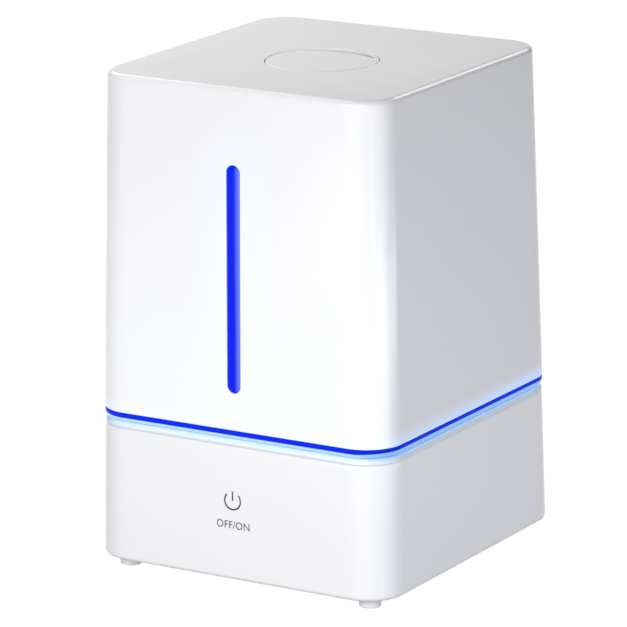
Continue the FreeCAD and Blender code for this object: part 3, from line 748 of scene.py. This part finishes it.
def tank_case():
    mesh = bmesh.new()
    half_window = WINDOW_WIDTH / 2
    path = [(0.45 * MM, tank_low.z)]
    path += arc((0.35 * MM, tank_low.z + 0.35 * MM), 0.35 * MM, -75, 0, 3)
    path += [(0.0, tank_low.z + 1.3 * MM), (0.0, roof - TOP_ROUND - 1.3 * MM)]
    path += arc((TOP_ROUND, roof - TOP_ROUND), TOP_ROUND, 0, 90, 10)
    path += [(TOP_ROUND + 1.0 * MM, roof)]
    ring = first_ring(mesh, tank_outline, *path[0])
    ring = raise_rings(mesh, ring, tank_outline, path)
    front = largest_face(mesh, Vector((0, -1, 0)))
    before = set(mesh.verts)
    hole = long_hole(mesh, window_straight, half_window + 1.0 * MM)
    steps = [(half_window + 0.5 * MM, 0.0), (half_window + 0.2 * MM, 0.04 * MM),
             (half_window + 0.05 * MM, 0.18 * MM), (half_window, 0.45 * MM),
             (half_window, 1.4 * MM)]
    shrink_hole(mesh, hole, window_straight, steps)
    lean_on_front(mesh, [point for point in mesh.verts if point not in before], window_middle)
    open_wall(mesh, front, hole)
    lip_radius = cup_radius + 0.8 * MM
    cup_rim = circle_edges(mesh, lip_radius, len(ring), Matrix.Translation((0, 0, roof)))
    bridge = bmesh.ops.bridge_loops(mesh, edges=ring + cup_rim)
    bmesh.ops.subdivide_edges(mesh, edges=bridge["edges"], cuts=BRIDGE_BANDS, use_grid_fill=False)
    for point in mesh.verts:
        if point.co.z > roof - 0.01 * MM:
            point.co.z = dish(math.hypot(point.co.x, point.co.y))
    lip = dish(lip_radius)
    steps = [(cup_radius + 0.35 * MM, lip), (cup_radius + 0.1 * MM, lip - 0.1 * MM),
             (cup_radius, lip - 0.35 * MM), (cup_radius, lip - 0.8 * MM),
             (cup_radius, CUP_FLOOR + 1.2 * MM), (cup_radius - 0.3 * MM, CUP_FLOOR + 0.3 * MM),
             (cup_radius - 1.2 * MM, CUP_FLOOR), (CHIMNEY_BORE + 0.8 * MM, CUP_FLOOR),
             (CHIMNEY_BORE, CUP_FLOOR - 0.6 * MM)]
    circle_ring(mesh, cup_rim, steps)
    return finish_piece(mesh, "tank_case", "tank", tank_white, ["tank_shell"],
                        wall=WALL, soften=0.12 * MM)


tank_case()


# %% [markdown]
# ## The window bar
#
# A clear bar fills the slot. Its face is a shallow arch. Its darker left edge is
# painted shade and its lavender right side a painted reflection. It is the same
# long loop as the hole, drawn in smaller and smaller rings while it rises to its
# crest. The crest and the back are then closed with one
# face each.

# %% Window bar
BAR_GAP = 0.06 * MM
BAR_DEPTH = 3.6 * MM
ARCH_STEPS = 12
CREST_SHARE = 0.96


def window_bar():
    mesh = bmesh.new()
    radius = WINDOW_WIDTH / 2 - BAR_GAP
    rise = 1.1 * MM
    sunk = 0.8 * MM
    back = long_hole(mesh, window_straight, radius)
    bmesh.ops.translate(mesh, vec=(0, BAR_DEPTH, 0), verts=mesh.verts)
    steps = [(radius, sunk + 0.5 * MM), (radius, sunk)]
    for step in range(1, ARCH_STEPS + 1):
        across = radius * math.cos(step / ARCH_STEPS * math.pi / 2 * CREST_SHARE)
        steps.append((across, sunk - rise * (1 - (across / radius) ** 2)))
    crest = shrink_hole(mesh, back, window_straight, steps)
    bmesh.ops.edgeloop_fill(mesh, edges=crest)
    bmesh.ops.edgeloop_fill(mesh, edges=back)
    lean_on_front(mesh, mesh.verts[:], window_middle)
    return finish_piece(mesh, "window_bar", "tank", window_glass, ["window_lens"])


window_bar()


# %% [markdown]
# ## The nozzle cap
#
# The cap is a disc that lies flush in the roof, with a crescent near its rear rim
# where the mist comes out. A crescent lies between two circles. The disc is cut
# from one sheet: its rim circle and the crescent's loop bound a flat region that is
# filled in one go, and both borders are then drawn down to give the disc a skirt
# and the slot its walls.

# %% Nozzle cap
cap_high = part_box("nozzle_cap")[1]
CRESCENT_OUTER = 28.6 * MM
CRESCENT_INNER = 45.0 * MM
CRESCENT_SHIFT = 22.0 * MM
CAP_ROUND = 0.9 * MM


def crescent_tip():
    """The angle, from the X axis, at which the two circles of the crescent meet."""
    y = (CRESCENT_INNER ** 2 - CRESCENT_OUTER ** 2 - CRESCENT_SHIFT ** 2) / (2 * CRESCENT_SHIFT)
    return math.asin(y / CRESCENT_OUTER)


def crescent_loop(mesh, z, steps=48):
    """The closed loop of the crescent, from two spun arcs that meet at its tips."""
    tip = crescent_tip()
    start = Vector((CRESCENT_OUTER * math.cos(tip), CRESCENT_OUTER * math.sin(tip), z))
    outer = mesh.verts.new(start)
    bmesh.ops.spin(mesh, geom=[outer], cent=(0, 0, z), axis=(0, 0, 1),
                   angle=math.pi - 2 * tip, steps=steps)
    inner = mesh.verts.new(start)
    half = math.asin(start.x / CRESCENT_INNER)
    bmesh.ops.spin(mesh, geom=[inner], cent=(0, -CRESCENT_SHIFT, z), axis=(0, 0, 1),
                   angle=2 * half, steps=steps)
    bmesh.ops.remove_doubles(mesh, verts=mesh.verts, dist=0.01 * MM)
    return mesh.edges[:]


def nozzle_cap():
    mesh = bmesh.new()
    top = cap_high.z
    radius = cap_high.x
    slot = crescent_loop(mesh, top)
    rim = circle_edges(mesh, radius - 1.5 * MM, 128, Matrix.Translation((0, 0, top)))
    bmesh.ops.triangle_fill(mesh, edges=slot + rim, use_beauty=True)
    edge = arc((CAP_ROUND, top - CAP_ROUND), CAP_ROUND, 90, 0, 6)
    steps = [(radius - inset, z) for inset, z in edge]
    steps += [(radius, top - 1.2 * MM), (radius, top - 3.9 * MM)]
    circle_ring(mesh, rim, steps)
    for drop in (0.15, 0.5, 3.0):
        level = top - drop * MM
        slot = next_ring(mesh, slot, lambda point: Vector((point.x, point.y, level)))
    return finish_piece(mesh, "nozzle_disc", "nozzle", cap_white, ["nozzle_cap"],
                        wall=1.6 * MM, soften=0.12 * MM)


nozzle_cap()


# %% [markdown]
# ## The feet
#
# Four short feet stick out below the base. Each is a disc that was spun round its
# own axis: a few points from the middle of the sole to the top, turned through a
# full circle. The sole has a small dimple and a soft edge.

# %% Feet
def spun(mesh, profile, centre, steps=48):
    """Turn a profile of (radius, height) points about an upright axis."""
    points = [mesh.verts.new((centre.x + radius, centre.y, z)) for radius, z in profile]
    edges = [mesh.edges.new(pair) for pair in zip(points, points[1:])]
    bmesh.ops.spin(mesh, geom=points + edges, cent=(centre.x, centre.y, 0), axis=(0, 0, 1),
                   angle=2 * math.pi, steps=steps, use_merge=True)
    bmesh.ops.remove_doubles(mesh, verts=mesh.verts, dist=SAME_POINT)


def foot(name):
    low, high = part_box(name)
    centre = (low + high) / 2
    top_radius = (high.x - low.x) / 2
    sole = top_radius - 0.3 * MM
    dimple = [(0.0, 1.5 * MM), (1.6 * MM, 1.5 * MM), (2.0 * MM, 1.1 * MM), (2.0 * MM, 0.4 * MM),
              (2.4 * MM, 0.0)]
    soft_edge = [(sole - 0.9 * MM, 0.0), (sole - 0.35 * MM, 0.15 * MM),
                 (sole - 0.05 * MM, 0.55 * MM), (sole, 1.1 * MM)]
    stem = [(top_radius, high.z - 0.2 * MM), (top_radius, high.z), (0.0, high.z)]
    mesh = bmesh.new()
    spun(mesh, dimple + soft_edge + stem, centre)
    return finish_piece(mesh, name + "_pad", "base", foot_white, [name])


for end in ("front", "rear"):
    for side in ("left", "right"):
        foot("foot_" + end + "_" + side)


# %% [markdown]
# ## The printed mark
#
# The touch control is only a print on the front of the base: the usual power symbol
# with two short words under it. Ink has almost no thickness, so each shape is a
# very thin solid that sits a hair in front of the wall and leans with it. The arc
# of the symbol is a short edge spun round the centre, and the words are a text
# object that is turned into a mesh.

# %% Printed mark
def ink(name, colour):
    """Matt grey ink with slight print mottle."""
    finish = Finish(name, Roughness=0.55)
    mottle = finish.noise(3000.0, 3.0)
    finish.paint(Base_Color=finish.mix(mottle, colour, tuple(value * 1.3 for value in colour)))
    return finish.material


mark_ink = ink("mark_ink", (0.03, 0.03, 0.032))
word_ink = ink("word_ink", (0.10, 0.10, 0.105))
MARK_HEIGHT = 50.6 * MM
WORD_HEIGHT = 36.8 * MM
INK_THICK = 0.05 * MM
INK_GAP = 0.02 * MM


def lean_on_base(mesh, height, x=0.0):
    """Stand a flat shape from the XY plane against the base's leaning front."""
    wall_y = base_outline.half[1] - BASE_NARROWING[1] * (height - base_outline.foot)
    upright = math.radians(90) - math.atan(BASE_NARROWING[1])
    place = Matrix.Translation((x, -wall_y - INK_GAP, height)) @ Matrix.Rotation(upright, 4, "X")
    bmesh.ops.transform(mesh, matrix=place, verts=mesh.verts)


def power_symbol():
    mesh = bmesh.new()
    outer = 5.4 * MM
    inner = 4.5 * MM
    gap = math.radians(48)
    start = math.radians(90) + gap
    ends = [mesh.verts.new((radius * math.cos(start), radius * math.sin(start), 0))
            for radius in (inner, outer)]
    edge = mesh.edges.new(ends)
    bmesh.ops.spin(mesh, geom=ends + [edge], cent=(0, 0, 0), axis=(0, 0, 1),
                   angle=2 * math.pi - 2 * gap, steps=60)
    stroke = bmesh.ops.create_grid(mesh, x_segments=1, y_segments=1, size=0.5)["verts"]
    bmesh.ops.scale(mesh, vec=(0.85 * MM, 5.2 * MM, 1), verts=stroke)
    bmesh.ops.translate(mesh, vec=(0, 2.6 * MM, 0), verts=stroke)
    lean_on_base(mesh, MARK_HEIGHT, -0.9 * MM)
    return finish_piece(mesh, "power_mark", "base", mark_ink, wall=INK_THICK)


def mark_words():
    text = bpy.data.curves.new("mark_words", "FONT")
    text.body = "OFF/ON"
    text.size = 5.95 * MM
    text.offset = 0.05 * MM
    text.align_x = "CENTER"
    text.align_y = "CENTER"
    text.space_character = 1.04
    holder = bpy.data.objects.new("mark_words_text", text)
    bpy.context.scene.collection.objects.link(holder)
    bpy.context.view_layer.update()
    settled = holder.evaluated_get(bpy.context.evaluated_depsgraph_get())
    flat = bpy.data.meshes.new_from_object(settled)
    bpy.data.objects.remove(holder)
    mesh = bmesh.new()
    mesh.from_mesh(flat)
    bpy.data.meshes.remove(flat)
    bmesh.ops.scale(mesh, vec=(0.96, 1, 1), verts=mesh.verts)
    lean_on_base(mesh, WORD_HEIGHT, -0.5 * MM)
    return finish_piece(mesh, "mark_words", "base", word_ink, wall=INK_THICK)


power_symbol()
mark_words()


# %% [markdown]
# ## The valve spring
#
# A small steel spring keeps the tank's valve shut. When the valve rises, the spring
# has to grow shorter, or it would cut through the valve, but this coil is drawn at
# its full length only. A ring of edges spun about the spring's axis while it climbs
# makes the coil, and each end is closed with one face. Its steel comes from
# `plain`, which gives a small part one colour with a fine speckle that also varies
# the gloss and the surface, so that no part looks like flat paint.

# %% Valve spring
def plain(name, colour, roughness, metallic=0.0, speckle=400.0, spread=0.12, bump=0.03):
    """A finish with a fine speckle in colour and gloss, for small parts."""
    finish = Finish(name, Metallic=metallic)
    grain = finish.noise(speckle, 4.0, 0.6)
    dark = tuple(value * (1 - spread) for value in colour)
    finish.paint(Base_Color=finish.mix(grain, dark, colour),
                 Roughness=grain * 0.16 + (roughness - 0.08),
                 Normal=finish.bump(grain, bump, 0.05 * MM))
    return finish.material


joints = {joint["name"]: joint for joint in frame["record"]["behaviour"]["joints"]}
spring_steel = plain("spring_steel", (0.5, 0.5, 0.52), 0.25, 1.0)


def valve_coil(turns=4, steps=36, wire=0.35 * MM):
    low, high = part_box("valve_spring")
    centre = (low + high) / 2
    radius = (high.x - low.x) / 2 - wire
    climb = (high.z - low.z - 2 * wire) / (turns * steps)
    mesh = bmesh.new()
    upright = Matrix.Rotation(math.radians(90), 4, "X")
    place = Matrix.Translation((centre.x + radius, centre.y, low.z + wire)) @ upright
    start = circle_edges(mesh, wire, 10, place)
    last = bmesh.ops.spin(mesh, geom=mesh.verts[:] + start, cent=centre, axis=(0, 0, 1),
                          dvec=(0, 0, climb), angle=2 * math.pi * turns,
                          steps=turns * steps)["geom_last"]
    end = [item for item in last if isinstance(item, bmesh.types.BMEdge)]
    bmesh.ops.edgeloop_fill(mesh, edges=start)
    bmesh.ops.edgeloop_fill(mesh, edges=end)
    coil = finish_piece(mesh, "valve_coil", "tank_cap", spring_steel,
                        ["valve_spring"])
    travel = joints["valve_rise"]["range_m"][1]
    1 - travel / (high.z - low.z)
    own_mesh(coil)
    return coil


valve_coil()


# %% [markdown]
# ## The other parts
#
# The other parts keep their measured shapes and only need their finishes. Each
# kind of material has one call, and a table says which finish belongs to which
# material slot. Every node of the model gets one, also those that a new piece
# stands for.

# %% Finishes of the inner parts
FINISHES = {
    "white_inner": inner_white,
    "white_shell": cap_white,
    "white_foot": foot_white,
    "lit_blue": ring_glass,
    "clear_guide": plain("guide_clear", (0.75, 0.84, 0.95), 0.15),
    "clear_tube": plain("tube_frosted", (0.80, 0.84, 0.88), 0.35, speckle=150.0, spread=0.05),
    "seal_rubber": plain("seal_rubber", (0.55, 0.55, 0.55), 0.6),
    "valve_rubber": plain("valve_rubber", (0.03, 0.03, 0.032), 0.65),
    "foam": plain("float_foam", (0.86, 0.85, 0.80), 0.8, speckle=1500.0, bump=0.3),
    "steel": plain("screw_steel", (0.62, 0.62, 0.64), 0.3, 1.0),
    "spring_steel": spring_steel,
    "aluminium": plain("bare_aluminium", (0.75, 0.75, 0.77), 0.35, 1.0),
    "piezo_metal": plain("disc_metal", (0.75, 0.70, 0.55), 0.3, 1.0),
    "copper_winding": plain("copper_winding", (0.70, 0.33, 0.16), 0.35, 1.0, speckle=1200.0,
                            bump=0.2),
    "bronze_sleeve": plain("bronze_sleeve", (0.55, 0.40, 0.22), 0.4, 1.0),
    "black_plastic": plain("black_plastic", (0.02, 0.02, 0.022), 0.4),
    "board_green": plain("board_green", (0.02, 0.16, 0.07), 0.3),
    "board_white": plain("board_white", (0.8, 0.81, 0.81), 0.35),
    "led_white": plain("lamp_white", (0.85, 0.87, 0.95), 0.25),
    "magnet_grey": plain("magnet_grey", (0.08, 0.08, 0.085), 0.5),
}

slot_of = {part["node"]: part["material_slot"] for part in frame["record"]["subparts"]}
for node, part in frame["nodes"].items():
    part.data.materials.clear()
    part.data.materials.append(FINISHES[slot_of[node]])
print(len(frame["nodes"]), "nodes have a finish")


# %% [markdown]
# ## Studio
#
# A white product on white needs shading to show its form. One wide soft lamp stands
# nearly straight in front and makes the front face almost pure white. The right
# face gets only its grazing light, two weak lamps, the low ones and the dim
# surroundings, so it stays grey. A wide lamp behind and two small ones above light
# the roof, and the edge lamp draws the thin bright line along the roof's edge. Low
# lamps lift the foot of the walls, which a real floor would light. This floor glows
# by itself, so that it reads as a clean white sheet, and it sends no light onto the
# object. Seen from below it is clear, so the underside can be looked at.

# %% Floor, world and lamps
WARM = (1.0, 0.965, 0.945)
COOL = (0.90, 0.92, 1.0)
DAY = (1.0, 0.995, 1.0)
NEUTRAL = (1.0, 1.0, 1.0)
LAMP_AIM = (0, 0, 0.14)
FLOOR_SIZE = 16.0


def pale_floor():
    """A plain sheet that glows by itself, with its back left clear."""
    bpy.ops.mesh.primitive_plane_add(size=FLOOR_SIZE, location=(0, 0, 0))
    floor = bpy.context.object
    floor.name = "studio_floor"
    finish = Finish("floor_white", Base_Color=(0.1, 0.1, 0.1), Roughness=0.9, Emission_Strength=1.0,
                    Emission_Color=(0.98, 0.98, 0.98), Specular_IOR_Level=0.0)
    finish.paint(Alpha=1 - finish.node("ShaderNodeNewGeometry", output="Backfacing"))
    floor.data.materials.append(finish.material)
    floor.visible_diffuse = False


def soft_lamp(name, place, aim, size, power, tint=NEUTRAL, spread=180):
    """A rectangular lamp at a place, turned towards a point."""
    lamp = bpy.data.lights.new(name, "AREA")
    lamp.color = tint
    lamp.spread = math.radians(spread)
    lamp.shape = "RECTANGLE"
    lamp.size, lamp.size_y = size
    lamp.energy = power
    holder = bpy.data.objects.new(name, lamp)
    holder.location = place
    holder.rotation_euler = (Vector(aim) - Vector(place)).to_track_quat("-Z", "Y").to_euler()
    bpy.context.scene.collection.objects.link(holder)


def lamp_round(name, azimuth, elevation, distance, size, power, tint=NEUTRAL):
    """A soft lamp at an angle round the object. 0 is the front, 90 is its right side."""
    turn = math.radians(azimuth)
    rise = math.radians(elevation)
    away = Vector((math.sin(turn) * math.cos(rise), -math.cos(turn) * math.cos(rise),
                   math.sin(rise)))
    soft_lamp(name, Vector(LAMP_AIM) + away * distance, LAMP_AIM, size, power, tint)


def surroundings(strength):
    """An even, slightly blue light from all sides."""
    world = bpy.data.worlds.new("studio_world")
    world.use_nodes = True
    world.node_tree.nodes["Background"].inputs[0].default_value = (*COOL, 1.0)
    world.node_tree.nodes["Background"].inputs[1].default_value = strength
    bpy.context.scene.world = world


pale_floor()
surroundings(0.12)
lamp_round("front_lamp", 9, 18, 1.5, (1.7, 0.6), 18.4, DAY)
lamp_round("right_front_lamp", 54, 3, 1.2, (0.3, 0.6), 0.8, DAY)
lamp_round("corner_lamp", 78, 0, 0.6, (0.3, 0.3), 0.22, COOL)
lamp_round("edge_lamp", 169, 33, 2.0, (0.95, 0.45), 6.0)
lamp_round("rear_lamp", 212, 18, 2.6, (3.0, 1.4), 9.9, WARM)
soft_lamp("top_lamp", (-0.45, 0.2, 0.7), (0, 0, 0.27), (0.4, 0.4), 1.5, WARM)
soft_lamp("roof_lamp", (-0.3, 0.05, 1.0), (-0.1, -0.04, 0.27), (0.2, 0.2), 0.07, WARM, spread=40)
soft_lamp("low_right_lamp", (0.55, 0.08, 0.05), (0, 0, 0.03), (0.5, 0.08), 0.46, COOL)
soft_lamp("low_corner_lamp", (0.64, -0.285, 0.05), (0, 0, 0.03), (0.35, 0.07), 0.26, COOL)
soft_lamp("low_front_lamp", (0.0, -0.75, 0.06), (0, 0, 0.06), (0.7, 0.1), 0.65)
bpy.context.scene.view_settings.view_transform = "Standard"
print(len(bpy.data.lights), "lamps stand round the object")
